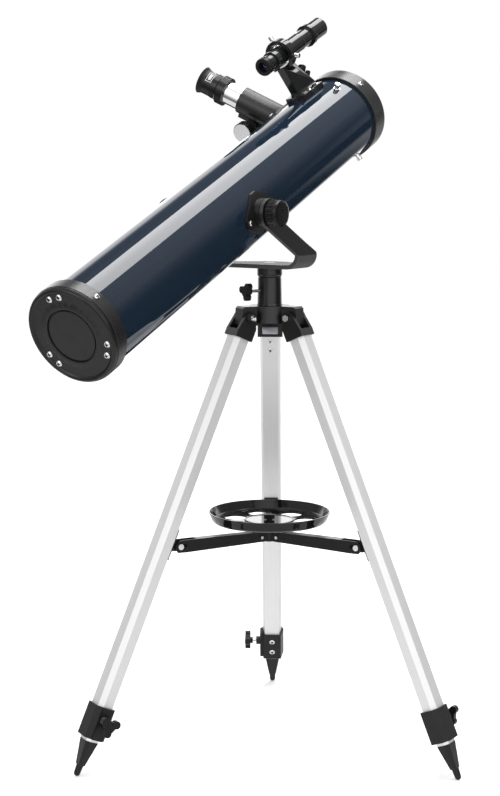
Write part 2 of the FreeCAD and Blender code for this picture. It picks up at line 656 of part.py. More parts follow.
def yoke_bracket():
    """A strip bent up into two arms that sweep back to an eye each, in yoke axes."""
    centre = ARM_IN - BEND_IN
    plate = [(-centre, ARM_BACK), (centre, ARM_BACK), (centre, ARM_FRONT), (34, 13), (20, 22.5),
             (8, 26.6), (-8, 26.6), (-20, 22.5), (-34, 13), (-centre, ARM_FRONT)]
    whole = prism(plate, BASE_BOTTOM, BASE_BOTTOM + BEND_OUT - BEND_IN)
    for side in (-1, 1):
        hollow = Part.makeCylinder(BEND_IN, ARM_FRONT - ARM_BACK, HOME, Y)
        bend = Part.makeCylinder(BEND_OUT, ARM_FRONT - ARM_BACK, HOME, Y).cut(hollow)
        quarter = block(0, 30, -1, 60, -30, 0) if side > 0 else block(-30, 0, -1, 60, -30, 0)
        bend = moved_by(bend.common(quarter), centre * side, ARM_BACK, BASE_BOTTOM + BEND_OUT)
        arm = set_at(prism(arm_outline(), ARM_IN, ARM_OUT), HOME, X, Y)
        eye = set_at(rod(EYE_R, ARM_IN, ARM_OUT), V(0, -AXIS_BACK, AXIS_HEIGHT), X)
        bore = set_at(rod(STUD_R + RUN, 60, 80), V(0, -AXIS_BACK, AXIS_HEIGHT), X)
        arm = arm.fuse(eye).cut(bore)
        if side < 0:
            arm = arm.mirror(HOME, X)
        whole = whole.fuse(bend).fuse(arm)
    whole = whole.removeSplitter()
    return whole.cut(rod(SPINDLE_R, 640, 680))


def azimuth_post():
    """The collar under the yoke and the spindle that turns in the column."""
    outline = [(0, 598.5), (SPINDLE_R - 0.8, 598.5), (SPINDLE_R, 599.5),
               (SPINDLE_R, COLUMN_TOP + 0.1), (15.6, COLUMN_TOP + 0.1), (15.6, 651.6), (16.8, 653.4),
               (16.8, BASE_BOTTOM), (SPINDLE_R, BASE_BOTTOM),
               (SPINDLE_R, BASE_BOTTOM + 5.4), (0, BASE_BOTTOM + 5.4)]
    return turned(outline)


# ---- tripod head ------------------------------------------------------------------------
LOCK_ANGLE = 212.0
LOCK_Z = 632.0


def tripod_head():
    """A drum with a tongue for each leg and a hollow column for the spindle."""
    whole = rod(27.0, 589.5, HEAD_TOP)
    for name in LEG_ANGLES:
        tongue = prism([(0, HEAD_TOP), (43.5, HEAD_TOP), (46.2, HEAD_TOP - 2.4), (48.2, 588.0),
                        (46.8, 586.3), (0, 586.3)], -TONGUE_HALF, TONGUE_HALF)
        tongue = set_at(tongue, HOME, Y * -1, X)
        whole = whole.fuse(turned_by(tongue, LEG_ANGLES[name]))
    column = turned([(0, 600), (16.8, 600), (16.8, HEAD_TOP + 1), (16.4, HEAD_TOP + 3), (15.7, 646),
                     (15.7, COLUMN_TOP - 1.4), (14.9, COLUMN_TOP), (0, COLUMN_TOP)])
    whole = whole.fuse(column).removeSplitter()
    whole = whole.cut(rod(SPINDLE_R + RUN, 598.0, 660))
    for name in LEG_ANGLES:
        bore = set_at(rod(BOLT_R, -40, 40), round_about(LEG_ANGLES[name], HINGE_R, HINGE_Z),
                      round_about(LEG_ANGLES[name] + 90, 1))
        whole = whole.cut(bore)
    stem = set_at(rod(STEM_R + RUN, 8, 30), V(0, 0, LOCK_Z), round_about(LOCK_ANGLE, 1))
    return whole.cut(stem)


def hinge_bolts():
    """One bolt through each tongue, its head on one cheek and a domed nut on the other."""
    bolts = []
    nut = turned([(0, 19.6), (4.6, 19.6), (4.6, 23.4), (3.3, 26.2), (1.6, 28.4), (0, 29.0)])
    for name in LEG_ANGLES:
        bolt = moved_by(hex_bolt(8.0, 4.4, BOLT_R, 38.5), 0, 0, -17.4)
        spot = round_about(LEG_ANGLES[name], HINGE_R, HINGE_Z)
        bolts.append(set_at(bolt.fuse(nut).removeSplitter(), spot,
                            round_about(LEG_ANGLES[name] + 90, 1)))
    return bolts


def azimuth_lock():
    knob = star_knob(13.0, 7.5, 5.0, 3.0)
    stem = rod(STEM_R, -23.4, 1)
    whole = moved_by(knob.fuse(stem).removeSplitter(), 0, 0, 32.6)
    return set_at(turned_by(whole, -13), V(0, 0, LOCK_Z), round_about(LOCK_ANGLE, 1), Z)


# ---- legs, in leg axes ------------------------------------------------------------------
def leg_outline(grow=0.0):
    """The six-sided leg section, grown or shrunk by a uniform amount."""
    right = list(LEG_SECTION)
    points = right + [(x, -y) for x, y in reversed(right)]
    wire = Part.makePolygon([V(x, y, 0) for x, y in points + points[:1]])
    if grow:
        wire = wire.makeOffset2D(grow, 2)
    return Part.Face(wire)


def leg_prism(grow, low, high):
    return leg_outline(grow).extrude(V(0, 0, high - low)).translated(V(0, 0, low))


FOOT_TOP = FOOT_LENGTH - LEG_LENGTH
COLLAR_LOW = FOOT_TOP + FOOT_GAP
COLLAR_HIGH = COLLAR_LOW + COLLAR_LENGTH
CLAMP_Z = COLLAR_LOW + 25.5
SLIDE_PLAY = 0.45
CAP_LOW, CAP_SLEEVE = -29.5, -19.5
LEG_TOP = -21.5
CAP_SCREWS = (-37.5, -51.5)


def leg_cap():
    """A square socket on the leg's top with two cheeks that hold the hinge."""
    sleeve = block(-13.0, 12.6, -CHEEK_OUT, CHEEK_OUT, CAP_LOW, CAP_SLEEVE)
    inner_wall = block(-13.0, -11.0, -CHEEK_OUT, CHEEK_OUT, CAP_SLEEVE - 1, -12.0)
    whole = sleeve.fuse(inner_wall)
    for side in (-1, 1):
        low, high = sorted((CHEEK_IN * side, CHEEK_OUT * side))
        cheek = prism([(-13.0, CAP_SLEEVE - 1), (12.6, CAP_SLEEVE - 1), (9.4, -4.0), (8.4, 2.0),
                       (5.2, 6.8), (0, 8.6), (-5.2, 6.8), (-8.4, 2.0), (-9.2, -4.0),
                       (-13.0, -12.0)], 0, high - low)
        cheek = set_at(cheek, V(0, high, 0), Y * -1, X)
        boss = set_at(rod(7.6, 0, 2.4), V(0, CHEEK_OUT, 0), Y)
        whole = whole.fuse(cheek)
        if side > 0:
            whole = whole.fuse(boss)
    whole = whole.removeSplitter()
    bore = set_at(rod(BOLT_R + RUN, -40, 40), HOME, Y)
    return whole.cut(bore).cut(leg_prism(0.0, CAP_LOW - 1, LEG_TOP))


def upper_leg():
    shell = leg_prism(0.0, COLLAR_LOW + 2.0, LEG_TOP)
    shell = shell.cut(leg_prism(-LEG_WALL, COLLAR_LOW - 5, LEG_TOP + 1))
    for height in CAP_SCREWS:
        shell = shell.cut(set_at(rod(1.4, 5, 20), V(0, 0, height), X * -1))
    return shell.cut(set_at(rod(STEM_R + 0.4, 5, 20), V(-1.0, 0, CLAMP_Z), Y))


def leg_collar():
    """The clamp moulded round the leg's lower end, with a threaded boss for its knob."""
    whole = leg_prism(3.1, COLLAR_LOW, COLLAR_HIGH)
    pad = block(-8.5, 6.5, 12.0, 18.6, COLLAR_LOW, COLLAR_HIGH)
    boss = set_at(rod(6.2, 10.0, 24.6), V(-1.0, 0, CLAMP_Z), Y)
    whole = whole.fuse(pad).fuse(boss).removeSplitter()
    whole = whole.cut(leg_prism(0.0, COLLAR_LOW + 2.0, COLLAR_HIGH + 1))
    whole = whole.cut(leg_prism(-LEG_WALL, COLLAR_LOW - 1, COLLAR_LOW + 3))
    whole = whole.cut(set_at(rod(STEM_R + RUN, 5, 30), V(-1.0, 0, CLAMP_Z), Y))
    return whole


def spreader_bracket():
    """The plate on a leg's inner face and its tongue, with the pin for the spreader arm."""
    down = (HINGE_Z - SPREAD_Z) / math.cos(math.radians(LEAN))
    inward = HINGE_R + (HINGE_Z - SPREAD_Z) * math.tan(math.radians(LEAN)) - LEG_PIVOT_R
    lean = math.radians(LEAN)
    pin_x = -inward * math.cos(lean)
    pin_z = -down + inward * math.sin(lean)
    face = -11.0
    plate = block(face - 1.8, face, -10.0, 10.0, pin_z - 22.0, pin_z + 21.0)
    web = prism([(face - 0.5, pin_z + 10), (face - 0.5, pin_z - 12), (pin_x + 2, pin_z - 6.4),
                 (pin_x - 5, pin_z - 4.4), (pin_x - 6.6, pin_z), (pin_x - 5, pin_z + 4.4),
                 (pin_x + 2, pin_z + 5.4)], -3.4, 3.4)
    web = set_at(web, HOME, Y * -1, X)
    pin = set_at(rod(2.0, -8.0, 8.0), V(pin_x, 0, pin_z), Y)
    heads = set_at(rod(4.0, 7.0, 8.6).fuse(rod(4.0, -8.6, -7.0)), V(pin_x, 0, pin_z), Y)
    return joined(plate, web, pin, heads)


def leg_screws():
    """Two screws in the leg's inner face under the cap, and two in the collar's."""
    small = pan_screw(3.2, 1.4, 1.4, 1.4)
    large = pan_screw(4.0, 1.8, 1.6, 2.6)
    inner = X * -1
    parts = [set_at(small, V(-11.0, 0, height), inner, Z) for height in CAP_SCREWS]
    for height in (COLLAR_HIGH - 11.8, COLLAR_HIGH - 31.0):
        parts.append(set_at(large, V(-14.1, 0, height), inner, Z))
    return parts


def lower_leg():
    shell = leg_prism(-LEG_WALL - SLIDE_PLAY, FOOT_TOP, -60.0)
    return shell.cut(leg_prism(-LEG_WALL - SLIDE_PLAY - LEG_WALL, FOOT_TOP - 1, -59.0))


def foot():
    """A faceted taper down to a round tip, worn flat where it meets the floor."""
    low = FOOT_TOP - (FOOT_LENGTH - 19.5)
    top_ring, low_ring = [], []
    for vertex in leg_outline(-LEG_WALL - SLIDE_PLAY + 0.2).OuterWire.OrderedVertexes:
        corner = vertex.Point
        top_ring.append(V(corner.x, corner.y, FOOT_TOP))
        low_ring.append(V(corner.x * 0.5, corner.y * 0.5, low))
    rings = [Part.makePolygon(ring + ring[:1]) for ring in (top_ring, low_ring)]
    taper = Part.makeLoft(rings, True, True)
    tip_r = 4.3
    end = tip_r - LEG_LENGTH + FLOOR_Z / math.cos(math.radians(LEAN))
    tip = [(0, low + 6), (5.2, low + 6), (4.9, low), (tip_r, end)]
    for degrees in (20, 40, 60, 80):
        angle = math.radians(degrees)
        tip.append((tip_r * math.cos(angle), end - tip_r * math.sin(angle)))
    tip.append((0, end - tip_r))
    return taper.fuse(turned(tip))


def leg_lock():
    knob = star_knob(14.8, 8.0, 4.8, 3.6)
    stem = rod(STEM_R, -21.3, 1)
    whole = moved_by(knob.fuse(stem).removeSplitter(), 0, 0, 33.4)
    return set_at(turned_by(whole, 90), V(-1.0, 0, CLAMP_Z), Y, Z)


# ---- spreader and tray ------------------------------------------------------------------
def spreader_hub():
    """A three-tongued block with a threaded post up through the tray."""
    whole = rod(7.5, 289.0, 314.6)
    plate = rod(20.0, 312.4, TRAY_BOTTOM - 0.05)
    whole = whole.fuse(plate)
    for name in LEG_ANGLES:
        tongue = prism([(0, 304.0), (HUB_PIVOT_R + 3.0, 302.0), (HUB_PIVOT_R + 6.0, SPREAD_Z + 1),
                        (HUB_PIVOT_R + 4.0, 290.0), (0, 289.0)], -4.6, 4.6)
        whole = whole.fuse(turned_by(set_at(tongue, HOME, Y * -1, X), LEG_ANGLES[name]))
    whole = whole.fuse(rod(3.0, 310.0, 323.0)).removeSplitter()
    for name in LEG_ANGLES:
        pin = set_at(rod(2.0, -8.4, 8.4), round_about(LEG_ANGLES[name], HUB_PIVOT_R, SPREAD_Z),
                     round_about(LEG_ANGLES[name] + 90, 1))
        whole = whole.fuse(pin)
    return whole.removeSplitter()


def spreader_arm():
    """A channel, open below, from the hub's pivot to the slotted end at the leg, X outward."""
    near, far = HUB_PIVOT_R, LEG_PIVOT_R
    side = [(near - 4.5, -6.2), (near - 6.4, 0), (near - 4.5, 5.4), (near + 2, 7.4), (far - 14, 8.5),
            (far, 8.4), (far + 4.2, 5.6), (far + 7.2, 1.5), (far + 7.4, -2.5), (far + 4, -8.0),
            (far - 8, -8.5)]
    solid = set_at(prism(side, -ARM_HALF, ARM_HALF), HOME, Y * -1, X)
    inside = block(near - 20, far + 20, 1.4 - ARM_HALF, ARM_HALF - 1.4, -20, 6.0)
    ends = block(near - 20, near + 12, 1.4 - ARM_HALF, ARM_HALF - 1.4, -20, 20)
    outer_end = block(far - 24, far + 20, 1.4 - ARM_HALF, ARM_HALF - 1.4, -20, 20)
    arm = solid.cut(inside).cut(ends).cut(outer_end)
    arm = arm.cut(set_at(rod(2.0 + RUN, -20, 20), V(near, 0, 0), Y))
    slot = block(far - 7.0, far, -20, 20, -3.1, 3.1)
    for x in (far - 7.0, far):
        slot = slot.fuse(set_at(rod(3.1, -20, 20), V(x, 0, 0), Y))
    return moved_by(arm.cut(slot), 0, 0, SPREAD_Z)


def tray():
    """A round dish with a ring of eyepiece holes and a raised middle."""
    top, low = TRAY_TOP, TRAY_BOTTOM
    dish = turned([(3.2, low), (72.0, low), (75.6, low + 1.0), (78.2, low + 3.6), (82.4, top - 2.2),
                   (TRAY_RIM_R, top - 1.2), (TRAY_RIM_R, top - 0.4), (82.6, top), (81.4, top),
                   (80.6, top - 1.6), (75.6, low + 4.4), (72.6, low + 2.8), (69.8, low + 2.4),
                   (34.2, low + 2.4), (33.6, low + 4.2), (32.4, low + 4.2), (31.8, low + 3.4),
                   (3.2, low + 3.4)])
    for i in range(TRAY_HOLES):
        spot = round_about(158.0 - 360.0 * i / TRAY_HOLES, TRAY_HOLE_RING)
        dish = dish.cut(moved_by(rod(TRAY_HOLE_R, low - 5, top), spot.x, spot.y, 0))
    return dish


def tray_knob():
    knob = star_knob(8.0, 5.5, 4.2, 1.4)
    return moved_by(knob, 0, 0, TRAY_BOTTOM + 4.9).cut(rod(3.0 + RUN, 300, 323.1))


# ---- the assembly -----------------------------------------------------------------------
def build_optics():
    node("optical_tube", TUBE, tube_shell())
    node("tube_end_rings", TUBE, front_band(), rear_band())
    node("rear_cell", TUBE, rear_cell())
    node("collimation_screws", TUBE, *collimation_hardware())
    node("mirror_cell", TUBE, mirror_cell())
    node("primary_mirror", TUBE, primary_mirror())
    node("spider", TUBE, spider())
    node("secondary_holder", TUBE, secondary_holder())
    node("secondary_mirror", TUBE, secondary_mirror())
    node("spider_hardware", TUBE, *spider_nuts(), *secondary_screws())
    plate = altitude_plate()
    node("altitude_plates", TUBE, plate, other_side(plate))


def build_fittings():
    node("focuser_housing", TUBE, focuser_housing())
    node("pinion_cover", TUBE, pinion_cover())
    node("focus_pinion", TUBE, focus_pinion())
    node("focus_knobs", TUBE, *focus_knobs())
    node("drawtube", TUBE, drawtube())
    barrel, body, cup, lenses = eyepiece()
    node("eyepiece_barrel", TUBE, barrel)
    node("eyepiece_body", TUBE, body)
    node("eyecup", TUBE, cup)
    node("eyepiece_lenses", TUBE, lenses)
    eye, tube, lenses = finder_body()
    node("finder_eyepiece", TUBE, eye)
    node("finder_tube", TUBE, tube)
    node("finder_lenses", TUBE, lenses)
    node("finder_bracket", TUBE, finder_bracket())
    node("finder_screws", TUBE, *finder_screws())
    node("tube_screws", TUBE, *tube_screws())


def build_yoke():
    knob = altitude_knob()
    node("altitude_knob_right", TUBE, knob)
    node("altitude_knob_left", TUBE, other_side(knob))
    node("yoke_bracket", YOKE, yoke_bracket())
    node("azimuth_post", YOKE, azimuth_post())


def build_stand():
    at_home = FreeCAD.Placement()
    node("tripod_head", at_home, tripod_head())
    node("hinge_bolts", at_home, *hinge_bolts())
    node("azimuth_lock_knob", at_home, azimuth_lock())
    node("spreader_hub", at_home, spreader_hub())
    node("tray", at_home, tray())
    node("tray_knob", at_home, tray_knob())
    for name in LEG_ANGLES:
        place = leg_place(name)
        node("leg_cap_" + name, place, leg_cap())
        node("upper_leg_" + name, place, upper_leg())
        node("leg_collar_" + name, place, leg_collar(), *leg_screws())
        node("spreader_bracket_" + name, place, spreader_bracket())
        node("lower_leg_" + name, place, lower_leg())
        node("foot_" + name, place, foot())
        node("leg_lock_knob_" + name, place, leg_lock())
        node("spreader_arm_" + name, head_place(name), spreader_arm())
    under_floor = block(-400, 400, -400, 400, -50, FLOOR_Z)
    for name in LEG_ANGLES:
        NODES["foot_" + name] = NODES["foot_" + name][0].cut(under_floor).Solids


def footprint_middle():
    """The middle of the whole instrument seen from above, which becomes the origin."""
    box = FreeCAD.BoundBox()
    for solids in NODES.values():
        for solid in solids:
            box.add(solid.optimalBoundingBox(False, False))
    return V((box.XMin + box.XMax) / 2, (box.YMin + box.YMax) / 2, box.ZMin)


def write_parts(middle):
    os.makedirs("parts", exist_ok=True)
    for name, solids in NODES.items():
        for solid in solids:
            solid.translate(middle * -1)
        Part.makeCompound(solids).exportStep(os.path.join("parts", name + ".step"))


build_optics()
build_fittings()
build_yoke()
build_stand()
MIDDLE = footprint_middle()
write_parts(MIDDLE)
print(len(NODES), "nodes; the stand's axis is at", -MIDDLE.x, -MIDDLE.y, "lowest", MIDDLE.z)
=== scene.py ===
"""Looks for a newtonian reflector telescope on its tripod. Lengths in the makers are millimetres."""
import json
import math

import bmesh
import bpy
from mathutils import Matrix, Vector

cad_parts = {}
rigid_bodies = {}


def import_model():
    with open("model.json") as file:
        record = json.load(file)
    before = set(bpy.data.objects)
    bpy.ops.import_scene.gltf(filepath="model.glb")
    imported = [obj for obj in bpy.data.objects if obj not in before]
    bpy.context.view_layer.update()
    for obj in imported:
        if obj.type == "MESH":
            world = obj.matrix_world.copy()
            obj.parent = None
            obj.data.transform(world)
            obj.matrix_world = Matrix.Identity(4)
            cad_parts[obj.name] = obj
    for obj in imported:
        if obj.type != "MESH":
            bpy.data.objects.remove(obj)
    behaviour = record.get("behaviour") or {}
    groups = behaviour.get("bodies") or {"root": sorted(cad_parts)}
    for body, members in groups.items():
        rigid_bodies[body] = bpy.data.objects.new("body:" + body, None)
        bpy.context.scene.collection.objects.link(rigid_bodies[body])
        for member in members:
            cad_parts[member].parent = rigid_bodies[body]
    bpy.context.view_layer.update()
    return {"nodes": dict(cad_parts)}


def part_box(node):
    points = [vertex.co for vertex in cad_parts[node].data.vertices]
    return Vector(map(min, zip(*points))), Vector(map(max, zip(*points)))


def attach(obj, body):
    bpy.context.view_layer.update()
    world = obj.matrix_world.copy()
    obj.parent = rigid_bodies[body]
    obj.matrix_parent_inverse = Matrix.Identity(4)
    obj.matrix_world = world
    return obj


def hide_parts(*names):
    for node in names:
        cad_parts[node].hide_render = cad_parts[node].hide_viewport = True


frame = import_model()

MM = 0.001
LEGS = {"rear": 90.0, "left": 210.0, "right": 330.0}  # each leg's angle round the stand

# ---- sizes of the object, in millimetres and degrees -------------------------------------
AZIMUTH, ELEVATION = 31.0, 23.0                 # where the tube points at rest
AXIS_BACK, AXIS_HEIGHT = 114.0, 739.0           # altitude axis, behind the post and above the datum
HINGE_R, HINGE_Z, TIP_R = 36.8, 597.5, 291.4    # leg hinge and leg tip
LEAN = math.atan2(TIP_R - HINGE_R, HINGE_Z)
TUBE_R = 57.5
FOCUS_Y, FOCUS_ANGLE = 251.0, -62.0             # focuser, along the tube and round it
FINDER_ANGLE, FINDER_R, FINDER_REAR = -10.0, 124.3, 193.8
POST_FOOT = 598.5                               # underside of the azimuth post

# ---- where a piece's second finish or its painted recess shade begins, in the piece's own axes ---
INSIDE_DEPTH = 0.9           # faces this far under the tube's skin are its inside
FOCUS_CAP_X = 38.01          # the turned discs in the ends of the focus knobs
FINDER_CLAMP_Y = 262.0       # the finder's black clamp screws lie ahead of this
AZIMUTH_STEM_R = 29.2        # steel stem of the azimuth clamp
LOCK_STEM_Y = 29.4           # steel stem of a leg lock
ARM_EYE_R = 19.6             # eye of a yoke arm, round the altitude axis
HUB_PIN_X, HUB_PIN_Y, HUB_PIN_Z, HUB_PIN_R = 10.0, 6.65, 296.0, 2.5
COLLAR_FACE_X = -14.15       # a collar's screw heads stand out past this
CAP_SCREW_Z = -65.0          # the cap's two screws lie above this
BRACKET_PIN_X, BRACKET_PIN_Y = -16.0, 6.9   # ends of the pin in a leg's bracket
# The next two bound the painted shade in the screw recesses.
SCREW_R_LIMIT = 6.0          # anything wider isn't a screw
RECESS_R, RECESS_DEPTH = 0.64, 0.28   # part of a head's radius; least depth under its top

# ---- label and print ---------------------------------------------------------------------
LABEL_HALF, LABEL_CORNER, LABEL_THICK = (10.6, 5.2), 0.8, 0.3
LABEL_SPOT = (-13.05, 0.0, -19.6)
PRINT_R, PRINT_THICK = 17.0, 0.12
PRINT_LOW, PRINT_HIGH = 166.5, 175.5
PRINT_TURN, PRINT_SWEEP = -118.0, 26.0
PRINT_LINE, PRINT_LINE_TURN = 0.7, 2.4


# ---- places: each takes a maker's own millimetres into the row frame ---------------------
def turn(degrees, axis):
    return Matrix.Rotation(math.radians(degrees), 4, axis)


def shift(x, y, z):
    return Matrix.Translation((x, y, z))


def axes(origin, z_axis, x_axis):
    """A place with its Z along z_axis and its X near x_axis."""
    z = Vector(z_axis).normalized()
    y = z.cross(Vector(x_axis)).normalized()
    x = y.cross(z)
    return Matrix.Translation(origin) @ Matrix((x, y, z)).transposed().to_4x4()


def around(degrees, radius, along):
    """A point in tube axes, at this angle from up towards the right."""
    angle = math.radians(degrees)
    return Vector((radius * math.sin(angle), along, radius * math.cos(angle)))


def around_z(degrees, radius, height=0.0):
    angle = math.radians(degrees)
    return Vector((radius * math.cos(angle), radius * math.sin(angle), height))


post_low, post_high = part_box("azimuth_post")
AXIS = (post_low + post_high) / 2
DATUM = post_low.z - POST_FOOT * MM
STAND = Matrix.Translation((AXIS.x, AXIS.y, DATUM)) @ Matrix.Scale(MM, 4)
YOKE = STAND @ turn(-AZIMUTH, "Z")
TUBE = YOKE @ shift(0, -AXIS_BACK, AXIS_HEIGHT) @ turn(ELEVATION, "X")
FOCUS = TUBE @ axes((0, FOCUS_Y, 0), around(FOCUS_ANGLE, 1, 0), (0, 1, 0))
FINDER = TUBE @ axes(around(FINDER_ANGLE, FINDER_R, FINDER_REAR), (0, 1, 0), around(FINDER_ANGLE, 1, 0))


def leg_place(name):
    spot = around_z(LEGS[name], HINGE_R, HINGE_Z)
    return STAND @ Matrix.Translation(spot) @ turn(LEGS[name], "Z") @ turn(-math.degrees(LEAN), "Y")


# ---- materials ---------------------------------------------------------------------------
NOISE_LOW, NOISE_HIGH = 0.3, 0.7


def new_material(name, colour, roughness, metallic=0.0):
    mat = bpy.data.materials.new(name)
    mat.use_nodes = True
    shader = mat.node_tree.nodes["Principled BSDF"]
    shader.inputs["Base Color"].default_value = (*colour, 1.0)
    shader.inputs["Roughness"].default_value = roughness
    shader.inputs["Metallic"].default_value = metallic
    return mat, mat.node_tree, shader


def coords(tree, scale):
    """Object coordinates, scaled along each axis."""
    place = tree.nodes.new("ShaderNodeTexCoord")
    mapping = tree.nodes.new("ShaderNodeMapping")
    mapping.inputs["Scale"].default_value = scale
    tree.links.new(place.outputs["Object"], mapping.inputs["Vector"])
    return mapping.outputs["Vector"]


def noise(tree, scale, detail=3.0, stretch=(1, 1, 1), rough=0.5):
    texture = tree.nodes.new("ShaderNodeTexNoise")
    texture.inputs["Scale"].default_value = scale
    texture.inputs["Detail"].default_value = detail
    texture.inputs["Roughness"].default_value = rough
    tree.links.new(coords(tree, stretch), texture.inputs["Vector"])
    return texture.outputs["Fac"]


def spread(tree, value, low, high):
    """The middle part of a noise, mapped to a range."""
    node = tree.nodes.new("ShaderNodeMapRange")
    node.inputs["From Min"].default_value = NOISE_LOW
    node.inputs["From Max"].default_value = NOISE_HIGH
    node.inputs["To Min"].default_value = low
    node.inputs["To Max"].default_value = high
    tree.links.new(value, node.inputs["Value"])
    return node.outputs["Result"]


def two_tone(tree, shader, value, dark, light):
    ramp = tree.nodes.new("ShaderNodeValToRGB")
    ramp.color_ramp.elements[0].position = NOISE_LOW
    ramp.color_ramp.elements[0].color = (*dark, 1)
    ramp.color_ramp.elements[1].position = NOISE_HIGH
    ramp.color_ramp.elements[1].color = (*light, 1)
    tree.links.new(value, ramp.inputs["Fac"])
    tree.links.new(ramp.outputs["Color"], shader.inputs["Base Color"])


def bump(tree, shader, value, strength, height):
    node = tree.nodes.new("ShaderNodeBump")
    node.inputs["Strength"].default_value = strength
    node.inputs["Distance"].default_value = height
    tree.links.new(value, node.inputs["Height"])
    tree.links.new(node.outputs["Normal"], shader.inputs["Normal"])


def plastic(name, dark, light, rough, grain=0.15, grain_mm=0.35, coat=0.0, shine=0.5):
    """Moulded plastic: a fine even grain, slightly uneven gloss, faint changes of tone."""
    mat, tree, shader = new_material(name, dark, rough)
    two_tone(tree, shader, noise(tree, 0.06, 4.0), dark, light)
    sheen = spread(tree, noise(tree, 0.35, 5.0), rough - 0.04, rough + 0.05)
    tree.links.new(sheen, shader.inputs["Roughness"])
    bump(tree, shader, noise(tree, 1.0 / grain_mm, 2.0), grain, 0.02 * MM)
    shader.inputs["Specular IOR Level"].default_value = shine
    shader.inputs["Coat Weight"].default_value = coat
    shader.inputs["Coat Roughness"].default_value = 0.05
    return mat


def enamel(name, dark, light, rough, coat, coat_rough, peel, shine):
    """Sprayed paint, with or without a clear coat, and a trace of orange peel."""
    mat, tree, shader = new_material(name, dark, rough)
    shader.inputs["Specular IOR Level"].default_value = shine
    two_tone(tree, shader, noise(tree, 0.9, 6.0), dark, light)
    bump(tree, shader, noise(tree, 0.35, 2.0), peel, 0.012 * MM)
    shader.inputs["Coat Weight"].default_value = coat
    shader.inputs["Coat Roughness"].default_value = coat_rough
    return mat


def brushed(name, dark, light, rough, stretch, strength, metallic=1.0):
    """Metal with fine lines along one axis of its own piece; less metallic looks satin anodised."""
    mat, tree, shader = new_material(name, dark, rough, metallic)
    lines = noise(tree, 1.0, 5.0, stretch, 0.65)
    two_tone(tree, shader, lines, dark, light)
    tree.links.new(spread(tree, lines, rough - 0.06, rough + 0.08), shader.inputs["Roughness"])
    bump(tree, shader, lines, strength, 0.01 * MM)
    return mat


def glass(name, tint):
    """Lens glass with a bluish coating."""
    mat, tree, shader = new_material(name, tint, 0.02)
    shader.inputs["Transmission Weight"].default_value = 0.92
    shader.inputs["IOR"].default_value = 1.52
    shader.inputs["Coat Weight"].default_value = 0.6
    shader.inputs["Coat Tint"].default_value = (0.55, 0.65, 1.0, 1.0)
    rough = spread(tree, noise(tree, 0.5, 3.0), 0.01, 0.03)
    tree.links.new(rough, shader.inputs["Roughness"])
    return mat


# Colours are the darker and the lighter tone; then roughness and the maker's own settings.
NAVY = enamel("tube_enamel", (0.0072, 0.0150, 0.0280), (0.0084, 0.0170, 0.0315),
              rough=0.35, coat=1.0, coat_rough=0.015, peel=0.03, shine=0.0)
INSIDE_BLACK = plastic("tube_inside", (0.006, 0.006, 0.006), (0.009, 0.009, 0.009),
                       0.85, grain=0.6, grain_mm=0.3)
SATIN = plastic("cell_satin", (0.0065, 0.0062, 0.0062), (0.0090, 0.0086, 0.0086),
                0.34, grain=0.10, shine=0.36)
RING_SATIN = plastic("ring_satin", (0.0090, 0.0094, 0.0104), (0.0120, 0.0125, 0.0136), 0.30, grain=0.08)
GLOSS = plastic("gloss_black", (0.0065, 0.0068, 0.0074), (0.0090, 0.0094, 0.0100),
                0.10, grain=0.02, grain_mm=0.5, coat=0.2, shine=0.30)
TRAY_GLOSS = plastic("tray_gloss", (0.0030, 0.0030, 0.0033), (0.0045, 0.0045, 0.0050),
                     0.07, grain=0.0, grain_mm=0.5, coat=0.25, shine=0.25)
HOUSING = plastic("housing_satin", (0.0075, 0.0075, 0.0078), (0.0100, 0.0100, 0.0103),
                  0.34, grain=0.08, grain_mm=0.3, shine=0.4)
MOULDED = plastic("moulded_black", (0.0060, 0.0060, 0.0064), (0.0085, 0.0085, 0.0090),
                  0.34, grain_mm=0.30, shine=0.28)
KNOB = plastic("knob_black", (0.0060, 0.0060, 0.0064), (0.0085, 0.0085, 0.0090),
               0.28, grain=0.12, grain_mm=0.30, shine=0.20)
RUBBER = plastic("soft_rubber", (0.0055, 0.0055, 0.0055), (0.0085, 0.0085, 0.0085),
                 0.50, grain=0.30, grain_mm=0.25, shine=0.25)
PRINT = plastic("white_print", (0.62, 0.62, 0.62), (0.68, 0.68, 0.68), 0.5, grain=0.05, grain_mm=0.4)
LABEL = plastic("label_grey", (0.30, 0.31, 0.33), (0.34, 0.35, 0.37), 0.35, grain=0.1, grain_mm=0.6, coat=0.3)
YOKE_PAINT = enamel("yoke_paint", (0.050, 0.050, 0.052), (0.064, 0.064, 0.066),
                    rough=0.45, coat=0.0, coat_rough=0.25, peel=0.35, shine=0.10)
HEAD_PAINT = enamel("head_paint", (0.0060, 0.0061, 0.0066), (0.0085, 0.0087, 0.0092),
                    rough=0.34, coat=0.0, coat_rough=0.12, peel=0.30, shine=0.60)
ARM_PAINT = enamel("arm_paint", (0.0055, 0.0055, 0.0060), (0.0080, 0.0080, 0.0085),
                   rough=0.30, coat=0.0, coat_rough=0.10, peel=0.25, shine=0.25)
ANODISED = enamel("anodised_black", (0.0045, 0.0045, 0.0048), (0.0065, 0.0065, 0.0070),
                  rough=0.28, coat=0.15, coat_rough=0.08, peel=0.05, shine=0.25)
ALONG_LEG, EVEN = (2.2, 2.2, 0.012), (1.5, 1.5, 1.5)
LEG_METAL = brushed("leg_aluminium", (0.71, 0.71, 0.715), (0.77, 0.77, 0.775), 0.44, ALONG_LEG, 0.18, 0.6)
SLIDE_METAL = brushed("slide_aluminium", (0.74, 0.74, 0.75), (0.80, 0.80, 0.81), 0.34, ALONG_LEG, 0.2, 0.6)
CHROME = brushed("bright_chrome", (0.80, 0.80, 0.81), (0.86, 0.86, 0.87), 0.09, EVEN, 0.04)
SPUN = brushed("turned_aluminium", (0.72, 0.72, 0.74), (0.82, 0.82, 0.84), 0.22, (0.02, 0.02, 3.0), 0.2)
